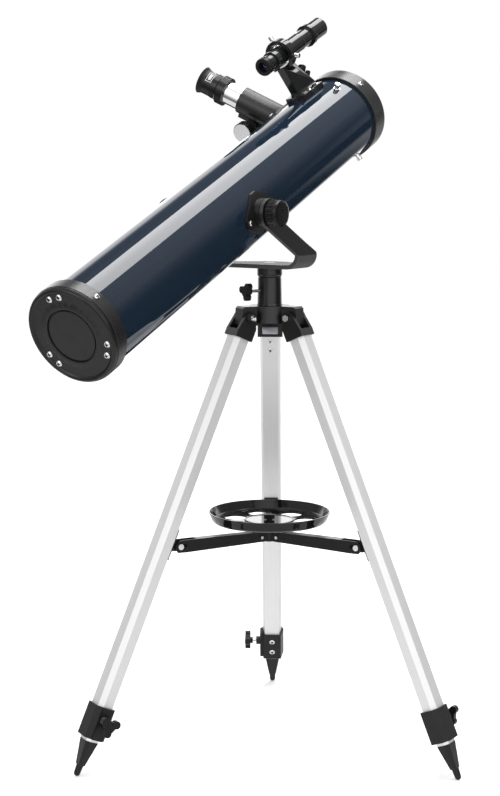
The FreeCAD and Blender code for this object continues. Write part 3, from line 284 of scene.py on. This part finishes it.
STEEL = brushed("turned_steel", (0.52, 0.52, 0.53), (0.62, 0.62, 0.63), 0.26, (0.3, 0.3, 3.0), 0.2)
SILVER = brushed("mirror_silver", (0.90, 0.91, 0.92), (0.93, 0.94, 0.95), 0.07, (0.2, 0.2, 0.2), 0.0)
# Painted shade: near-black steel for the driver recesses of screw heads, where shade falls.
SHADE = brushed("painted_recess_shade", (0.05, 0.05, 0.05), (0.08, 0.08, 0.08), 0.5, EVEN, 0.05)
LENS = glass("coated_glass", (0.80, 0.86, 0.92))


# ---- mesh makers -------------------------------------------------------------------------
def tidy(bm):
    bmesh.ops.remove_doubles(bm, verts=bm.verts, dist=1e-4)
    bmesh.ops.recalc_face_normals(bm, faces=bm.faces)


def as_object(name, bm, place, mat):
    tidy(bm)
    mesh = bpy.data.meshes.new(name)
    bm.to_mesh(mesh)
    bm.free()
    for polygon in mesh.polygons:
        polygon.use_smooth = True
    obj = bpy.data.objects.new(name, mesh)
    bpy.context.collection.objects.link(obj)
    obj.matrix_world = place
    mesh.materials.append(mat)
    return obj


def soften(obj, width, segments):
    """Rounds the sharp edges, in the piece's own units, and keeps the flats flat."""
    if width:
        bevel = obj.modifiers.new("edges", "BEVEL")
        bevel.width = width
        bevel.segments = segments
        bevel.limit_method = "ANGLE"
        bevel.angle_limit = math.radians(32)
        bevel.miter_outer = "MITER_ARC"
    flat = obj.modifiers.new("flats", "WEIGHTED_NORMAL")
    flat.keep_sharp = True
    flat.weight = 60
    return obj


def refined(node, place, mat, width, segments):
    """A CAD node as a clean mesh in its own axes, with rounded edges."""
    bm = bmesh.new()
    bm.from_mesh(frame["nodes"][node].data)
    bmesh.ops.transform(bm, matrix=place.inverted(), verts=bm.verts)
    bmesh.ops.remove_doubles(bm, verts=bm.verts, dist=1e-3)
    bmesh.ops.dissolve_limit(bm, angle_limit=math.radians(0.5), verts=bm.verts, edges=bm.edges)
    return soften(as_object("look_" + node, bm, place, mat), width, segments)


def paint_where(obj, mat, test):
    """Gives another finish to the faces whose middle, in the piece's own axes, passes the test."""
    obj.data.materials.append(mat)
    index = len(obj.data.materials) - 1
    for polygon in obj.data.polygons:
        if test(polygon.center):
            polygon.material_index = index


def islands(mesh):
    """The separate lumps of a mesh, each as a list of its polygons."""
    root = list(range(len(mesh.vertices)))

    def top_of(i):
        while root[i] != i:
            root[i] = root[root[i]]
            i = root[i]
        return i

    for edge in mesh.edges:
        root[top_of(edge.vertices[0])] = top_of(edge.vertices[1])
    lumps = {}
    for polygon in mesh.polygons:
        lumps.setdefault(top_of(polygon.vertices[0]), []).append(polygon)
    return list(lumps.values())


def shade_recesses(obj, mat, outward):
    """Painted shade in the driver recess of every screw head: a dark steel look where shade falls; outward
    gives a screw's way out.
    """
    mesh = obj.data
    mesh.materials.append(mat)
    index = len(mesh.materials) - 1
    for lump in islands(mesh):
        points = [mesh.vertices[i].co for polygon in lump for i in polygon.vertices]
        middle = sum(points, Vector()) / len(points)
        way = outward(middle).normalized()
        top = max((p - middle).dot(way) for p in points)
        reach = max(((p - middle) - way * (p - middle).dot(way)).length for p in points)
        if reach > SCREW_R_LIMIT:
            continue
        for polygon in lump:
            offset = polygon.center - middle
            height = offset.dot(way)
            near_axis = (offset - way * height).length < reach * RECESS_R
            if near_axis and height < top - RECESS_DEPTH:
                polygon.material_index = index


def dress(node, place, mat, body, width, segments=2):
    """A refined piece that stands for a CAD node."""
    obj = refined(node, place, mat, width, segments)
    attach(obj, body)
    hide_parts(node)


# ---- every CAD node, refined and finished ------------------------------------------------
def dress_all():
    tube_nodes = [
        ("optical_tube", NAVY, "tube_enamel", 0.15), ("tube_end_rings", RING_SATIN, "black_satin", 0.3),
        ("rear_cell", SATIN, "black_satin", 0.2), ("mirror_cell", MOULDED, "black_matte", 0.4),
        ("primary_mirror", SILVER, "mirror_coat", 0.3), ("collimation_screws", CHROME, "screw_chrome", 0.12),
        ("tube_screws", CHROME, "screw_chrome", 0.12), ("spider", MOULDED, "black_matte", 0.1),
        ("spider_hardware", CHROME, "screw_chrome", 0.12), ("secondary_holder", MOULDED, "black_matte", 0.2),
        ("secondary_mirror", SILVER, "mirror_coat", 0.1), ("altitude_plates", MOULDED, "black_satin", 0.5),
        ("focuser_housing", HOUSING, "black_gloss", 0.4), ("pinion_cover", HOUSING, "black_gloss", 0.4),
        ("finder_tube", GLOSS, "black_gloss", 0.2), ("finder_lenses", LENS, "lens_glass", 0.0),
        ("finder_bracket", GLOSS, "black_gloss", 0.5), ("finder_screws", CHROME, "screw_chrome", 0.15)]
    for node, mat, slot, width in tube_nodes:
        dress(node, TUBE, mat, "tube", width)
    dress("focus_pinion", FOCUS, STEEL, "focus_shaft", 0.1)
    dress("focus_knobs", FOCUS, KNOB, "focus_shaft", 0.2)
    dress("drawtube", FOCUS, GLOSS, "draw", 0.15)
    dress("eyepiece_barrel", FOCUS, CHROME, "eyepiece", 0.15)
    dress("eyepiece_body", FOCUS, ANODISED, "eyepiece", 0.2)
    dress("eyecup", FOCUS, RUBBER, "eyepiece", 0.3)
    dress("eyepiece_lenses", FOCUS, LENS, "eyepiece", 0.0)
    dress("finder_eyepiece", FINDER, KNOB, "finder_eye", 0.15)
    dress("altitude_knob_right", TUBE, KNOB, "altitude_clamp_right", 0.5)
    dress("altitude_knob_left", TUBE, KNOB, "altitude_clamp_left", 0.5)
    dress("yoke_bracket", YOKE, YOKE_PAINT, "yoke", 0.6, 3)
    dress("azimuth_post", STAND, HEAD_PAINT, "yoke", 0.4)
    dress("tripod_head", STAND, HEAD_PAINT, "stand", 0.9, 3)
    dress("hinge_bolts", STAND, CHROME, "stand", 0.25)
    dress("azimuth_lock_knob", STAND, KNOB, "azimuth_clamp", 0.6, 3)
    dress("spreader_hub", STAND, MOULDED, "spreader", 0.4)
    dress("tray", STAND, TRAY_GLOSS, "spreader", 0.3)
    dress("tray_knob", STAND, KNOB, "tray_nut", 0.4)
    for name, degrees in LEGS.items():
        place = leg_place(name)
        arm_place = STAND @ turn(degrees, "Z")
        dress("leg_cap_" + name, place, MOULDED, "leg_" + name, 0.8, 3)
        dress("upper_leg_" + name, place, LEG_METAL, "leg_" + name, 0.5)
        dress("leg_collar_" + name, place, MOULDED, "leg_" + name, 0.5)
        dress("spreader_bracket_" + name, place, MOULDED, "leg_" + name, 0.4)
        dress("lower_leg_" + name, place, SLIDE_METAL, "extension_" + name, 0.4)
        dress("foot_" + name, place, MOULDED, "extension_" + name, 0.4)
        dress("leg_lock_knob_" + name, place, KNOB, "clamp_" + name, 0.6, 3)
        dress("spreader_arm_" + name, arm_place, ARM_PAINT, "arm_" + name, 0.4)


def is_hub_pin(point):
    """True on the ends of the three pins that carry the spreader arms."""
    for degrees in LEGS.values():
        local = turn(-degrees, "Z") @ point
        if abs(local.y) > HUB_PIN_Y and local.x > HUB_PIN_X and abs(local.z - HUB_PIN_Z) < HUB_PIN_R:
            return True
    return False


def paint_details():
    """Second finishes on pieces that have more than one, and painted shade in the screw recesses."""
    look = bpy.data.objects
    paint_where(look["look_optical_tube"], INSIDE_BLACK, lambda p: math.hypot(p.x, p.z) < TUBE_R - INSIDE_DEPTH)
    paint_where(look["look_focus_knobs"], SPUN, lambda p: abs(p.x) > FOCUS_CAP_X)
    paint_where(look["look_finder_screws"], KNOB, lambda p: p.y > FINDER_CLAMP_Y)
    paint_where(look["look_azimuth_lock_knob"], STEEL, lambda p: math.hypot(p.x, p.y) < AZIMUTH_STEM_R)
    paint_where(look["look_spreader_hub"], CHROME, is_hub_pin)
    paint_where(look["look_yoke_bracket"], HEAD_PAINT,
                lambda p: math.hypot(p.y + AXIS_BACK, p.z - AXIS_HEIGHT) < ARM_EYE_R)
    # Painted shade in the recesses of the screw heads.
    shade_recesses(look["look_collimation_screws"], SHADE, lambda p: Vector((0, -1, 0)))
    shade_recesses(look["look_tube_screws"], SHADE, lambda p: Vector((p.x, 0, p.z)))
    for name in LEGS:
        collar = look["look_leg_collar_" + name]
        paint_where(collar, CHROME, lambda p: p.x < COLLAR_FACE_X or p.z > CAP_SCREW_Z)
        # Painted shade in the recesses of the collar's screw heads.
        shade_recesses(collar, SHADE, lambda p: Vector((-1, 0, 0)))
        paint_where(look["look_leg_lock_knob_" + name], STEEL, lambda p: p.y < LOCK_STEM_Y)
        paint_where(look["look_spreader_bracket_" + name], CHROME,
                    lambda p: p.x < BRACKET_PIN_X and abs(p.y) > BRACKET_PIN_Y)


def rounded_plate(bm, half, corner, thick, steps=5):
    """A flat plate on XY with rounded corners."""
    line = []
    for start, across, up in ((180.0, -1, -1), (270.0, 1, -1), (0.0, 1, 1), (90.0, -1, 1)):
        middle = Vector((across * (half[0] - corner), up * (half[1] - corner), 0.0))
        line += [middle + around_z(start + 90.0 * k / steps, corner) for k in range(steps + 1)]
    bottom = [bm.verts.new(point) for point in line]
    top = [bm.verts.new(point + Vector((0, 0, thick))) for point in line]
    bm.faces.new(list(reversed(bottom)))
    bm.faces.new(top)
    for k in range(len(line)):
        n = (k + 1) % len(line)
        bm.faces.new((bottom[k], bottom[n], top[n], top[k]))


def cap_label():
    """A blank grey label on the inner face of the rear leg's hinge cap."""
    bm = bmesh.new()
    rounded_plate(bm, LABEL_HALF, LABEL_CORNER, LABEL_THICK)
    place = leg_place("rear") @ axes(LABEL_SPOT, (-1, 0, 0), (0, 1, 0))
    label = as_object("look_cap_label", bm, place, LABEL)
    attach(label, "leg_rear")


def wrapped_strip(bm, low, high, start, end):
    """A thin raised strip on the eyepiece, between two heights and two angles."""
    outer = PRINT_R + PRINT_THICK
    corners = ((PRINT_R, low), (outer, low), (outer, high), (PRINT_R, high))
    steps = max(2, int((end - start) / 3))
    cells = []
    for k in range(steps + 1):
        angle = start + (end - start) * k / steps
        cells.append([bm.verts.new(around_z(angle, radius, height)) for radius, height in corners])
    for one, two in zip(cells, cells[1:]):
        for k in range(4):
            n = (k + 1) % 4
            bm.faces.new((one[k], two[k], two[n], one[n]))
    bm.faces.new(cells[0])
    bm.faces.new(list(reversed(cells[-1])))


def eyepiece_marks():
    """White print without words: an outlined panel and a bar beside it."""
    bm = bmesh.new()
    low, high = PRINT_LOW, PRINT_HIGH
    inner_low, inner_high = low + PRINT_LINE, high - PRINT_LINE
    start, end = PRINT_TURN - PRINT_SWEEP, PRINT_TURN + PRINT_SWEEP
    strips = [(low, inner_low, start, end), (inner_high, high, start, end),
              (inner_low, inner_high, start, start + PRINT_LINE_TURN),
              (inner_low, inner_high, end - PRINT_LINE_TURN, end),
              (low + 2.4, high - 2.4, start + 9, end - 9),
              (low + 2.0, high - 2.0, end + 12, end + 17)]
    for strip in strips:
        wrapped_strip(bm, *strip)
    marks = as_object("look_eyepiece_marks", bm, FOCUS, PRINT)
    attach(marks, "eyepiece")


dress_all()
paint_details()
cap_label()
eyepiece_marks()


# ---- studio ------------------------------------------------------------------------------
def stage_object(name, bm, mat, height):
    """A flat thing of the studio, a little under the stand's feet."""
    mesh = bpy.data.meshes.new(name)
    bm.to_mesh(mesh)
    bm.free()
    mesh.materials.append(mat)
    obj = bpy.data.objects.new(name, mesh)
    bpy.context.collection.objects.link(obj)
    obj.location.z = height
    return obj


def glow(shader, radiance):
    shader.inputs["Emission Color"].default_value = (1.0, 1.0, 1.0, 1.0)
    shader.inputs["Emission Strength"].default_value = radiance


def floor(reach, own_light):
    """The pale floor, with a little light of its own so that its far side stays white."""
    bm = bmesh.new()
    bm.faces.new([bm.verts.new((x, y, 0)) for x, y in
                  ((-reach, -reach), (reach, -reach), (reach, reach), (-reach, reach))])
    mat, tree, shader = new_material("pale_floor", (0.93, 0.93, 0.93), 0.75)
    glow(shader, own_light)
    rough = spread(tree, noise(tree, 3.0, 3.0), 0.7, 0.8)
    tree.links.new(rough, shader.inputs["Roughness"])
    stage_object("floor", bm, mat, -0.0002).visible_glossy = False


def reflection_glow_sheet(radius, radiance):
    """A glowing sheet round the feet that only reflections see: a painted reflection of a lit floor in the
    polished pieces, and no lamp.
    """
    bm = bmesh.new()
    bmesh.ops.create_circle(bm, cap_ends=True, segments=64, radius=radius)
    mat, _, shader = new_material("glowing_reflection_sheet", (0.0, 0.0, 0.0), 1.0)
    glow(shader, radiance)
    glow_sheet = stage_object("sheet", bm, mat, -0.0004)
    glow_sheet.visible_camera = glow_sheet.visible_diffuse = glow_sheet.visible_shadow = False


def softbox(name, spot, x_axis, facing, width, height, radiance):
    """An even rectangular light, its width along x_axis, shining along facing."""
    light = bpy.data.lights.new(name, "AREA")
    light.shape = "RECTANGLE"
    light.size, light.size_y = width, height
    light.energy = radiance * math.pi * width * height
    obj = bpy.data.objects.new(name, light)
    bpy.context.collection.objects.link(obj)
    obj.matrix_world = axes(spot, -Vector(facing), x_axis)
    obj.visible_camera = False


def along_sky(tree, value, start, end, low, high):
    """The value of a direction's part, mapped smoothly from start..end to low..high."""
    node = tree.nodes.new("ShaderNodeMapRange")
    node.interpolation_type = "SMOOTHSTEP"
    node.inputs["From Min"].default_value = start
    node.inputs["From Max"].default_value = end
    node.inputs["To Min"].default_value = low
    node.inputs["To Max"].default_value = high
    tree.links.new(value, node.inputs["Value"])
    return node.outputs["Result"]


def joined(tree, kind, one, *others):
    """The values multiplied or added together."""
    for other in others:
        node = tree.nodes.new("ShaderNodeMath")
        node.operation = kind
        tree.links.new(one, node.inputs[0])
        tree.links.new(other, node.inputs[1])
        one = node.outputs["Value"]
    return one


def studio_walls(tree):
    """Strength of the room's light by direction: X is right, Y away from the camera, Z up."""
    place = tree.nodes.new("ShaderNodeTexCoord")
    split = tree.nodes.new("ShaderNodeSeparateXYZ")
    tree.links.new(place.outputs["Generated"], split.inputs["Vector"])
    x, y, z = split.outputs
    behind = joined(tree, "MULTIPLY", along_sky(tree, y, 0.55, 0.85, 0.0, 1.8),
                    along_sky(tree, z, 0.50, 0.66, 1.0, 0.0), along_sky(tree, z, -0.26, -0.12, 0.0, 1.0))
    front = joined(tree, "MULTIPLY", along_sky(tree, y, -0.40, -0.90, 0.0, 1.3),
                   along_sky(tree, z, -0.45, 0.05, 0.2, 1.0))
    left = joined(tree, "MULTIPLY", along_sky(tree, x, -0.35, -0.80, 0.0, 0.15),
                  along_sky(tree, y, 0.10, 0.50, 1.0, 0.25))
    band = joined(tree, "MULTIPLY", along_sky(tree, y, 0.36, 0.52, 0.0, 0.7),
                  along_sky(tree, z, 0.02, 0.16, 0.0, 1.0), along_sky(tree, z, 0.24, 0.40, 1.0, 0.0))
    ceiling = joined(tree, "MULTIPLY", along_sky(tree, z, 0.05, 0.75, 0.05, 0.62),
                     along_sky(tree, y, 0.35, 0.62, 1.0, 0.35))
    return joined(tree, "ADD", behind, front, left, band, ceiling)


def background(tree, name, strength):
    node = tree.nodes.get(name) or tree.nodes.new("ShaderNodeBackground")
    node.inputs["Color"].default_value = (1.0, 1.0, 1.0, 1.0)
    node.inputs["Strength"].default_value = strength
    return node


def studio():
    """Three soft lights, a room for gloss to see, and a plain white backdrop for the camera."""
    tube_way = (0.474, 0.789, 0.391)
    softbox("over", (0.416, 0.809, 2.591), tube_way, (0.2255, 0.3203, -0.9201), 2.8, 1.08, 7.0)
    softbox("front_left", (-2.4, -2.4, 2.2), (0.7, -0.7, 0), (0.62, 0.62, -0.45), 1.4, 1.6, 2.6)
    softbox("front_right", (2.6, -2.2, 1.6), (0.7, 0.7, 0), (-0.70, 0.62, -0.28), 0.8, 1.6, 2.4)
    world = bpy.data.worlds.new("studio")
    world.use_nodes = True
    bpy.context.scene.world = world
    tree = world.node_tree
    room = background(tree, "Background", 1.0)
    tree.links.new(studio_walls(tree), room.inputs["Strength"])
    backdrop = background(tree, "backdrop", 1.0)
    path = tree.nodes.new("ShaderNodeLightPath")
    choice = tree.nodes.new("ShaderNodeMixShader")
    tree.links.new(path.outputs["Is Camera Ray"], choice.inputs["Fac"])
    tree.links.new(room.outputs["Background"], choice.inputs[1])
    tree.links.new(backdrop.outputs["Background"], choice.inputs[2])
    tree.links.new(choice.outputs["Shader"], tree.nodes["World Output"].inputs["Surface"])
    bpy.context.scene.view_settings.view_transform = "Standard"


def camera():
    """A long lens in front of the stand, a little above its middle."""
    data = bpy.data.cameras.new("view")
    data.sensor_width = 36.0
    data.lens = 79.42
    data.clip_start, data.clip_end = 0.05, 60.0
    obj = bpy.data.objects.new("view", data)
    bpy.context.collection.objects.link(obj)
    obj.location = (AXIS.x + 0.04333, AXIS.y - 2.35583, DATUM + 0.80891)
    obj.rotation_mode = "QUATERNION"
    obj.rotation_quaternion = Vector((-0.02933, 0.99030, -0.13579)).to_track_quat("-Z", "Y")
    bpy.context.scene.camera = obj


floor(9.0, 0.22)
# Painted reflection: a glowing sheet that only polished pieces see.
reflection_glow_sheet(1.3, 0.88)
studio()
camera()

bpy.context.view_layer.update()
